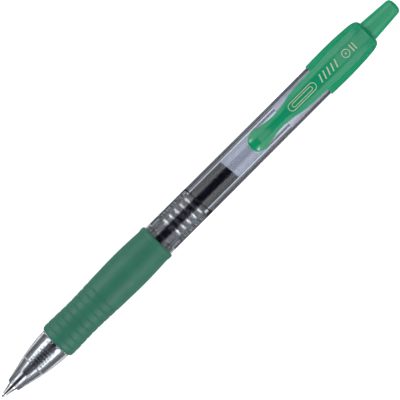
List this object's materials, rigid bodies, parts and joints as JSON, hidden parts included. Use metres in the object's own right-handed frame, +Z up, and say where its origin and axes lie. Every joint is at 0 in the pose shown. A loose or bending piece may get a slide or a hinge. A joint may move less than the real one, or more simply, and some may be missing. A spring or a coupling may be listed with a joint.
{
  "type": "gel pen",
  "caption": "Retractable gel pen with a clear barrel, rubber grip, pocket clip, push button, click mechanism and screw-off front section.",
  "frame": {"origin": "under the middle of the pen's length, on the surface that the grip lies on", "axes": "+X from the writing point to the push button, +Z up through the clip, +Y to the side"},
  "size_m": [0.142, 0.0108, 0.0126],
  "materials": {
    "clear_plastic": "clear, faintly smoky, polished",
    "grip_rubber": "satin moulded rubber",
    "green_plastic": "gloss moulded plastic",
    "mechanism_plastic": "natural moulded plastic",
    "spring_steel": "bright drawn wire",
    "refill_plastic": "translucent natural plastic",
    "black_ink": "wet black gel",
    "clear_grease": "clear jelly",
    "point_metal": "turned and polished",
    "ball_carbide": "mirror polished"
  },
  "bodies": {
    "barrel": {"rear_barrel": "clear_plastic", "clip_cap": "green_plastic", "cam_sleeve": "mechanism_plastic"},
    "refill": {"refill_tube": "refill_plastic", "tip_holder": "refill_plastic", "tail_plug": "mechanism_plastic", "refill_ink": "black_ink", "ink_follower": "clear_grease", "ball_point": "point_metal", "return_spring": "spring_steel"},
    "button": {"push_button": "green_plastic"},
    "rotor": {"cam_rotor": "mechanism_plastic"},
    "ball": {"writing_ball": "ball_carbide"},
    "grip": {"grip_sleeve": "grip_rubber"},
    "front": {"front_barrel": "clear_plastic"}
  },
  "joints": [
    {"name": "refill_slide", "type": "slide", "parent": "barrel", "child": "refill", "axis": [1, 0, 0], "range_m": [-0.0012, 0.005], "deforming": ["return_spring"]},
    {"name": "button_slide", "type": "slide", "parent": "barrel", "child": "button", "axis": [1, 0, 0], "range_m": [-0.0012, 0.005]},
    {"name": "rotor_turn", "type": "hinge", "parent": "refill", "child": "rotor", "pos_m": [0.0425, 0, 0.00535], "axis": [1, 0, 0], "range_deg": [-5, 18]},
    {"name": "ball_roll", "type": "hinge", "parent": "refill", "child": "ball", "pos_m": [-0.07065, 0, 0.00535], "axis": [0, 1, 0], "continuous": true},
    {"name": "front_slide", "type": "slide", "parent": "barrel", "child": "grip", "axis": [-1, 0, 0], "range_m": [0, 0.0115]},
    {"name": "front_turn", "type": "hinge", "parent": "grip", "child": "front", "pos_m": [-0.03, 0, 0.00535], "axis": [-1, 0, 0], "range_deg": [0, 2160]}
  ],
  "couplings": [
    {"joint": "button_slide", "follows": "refill_slide", "ratio": 1},
    {"joint": "rotor_turn", "follows": "refill_slide", "rad_per_m": 56},
    {"joint": "front_turn", "follows": "front_slide", "rad_per_m": 3272.5}
  ]
}
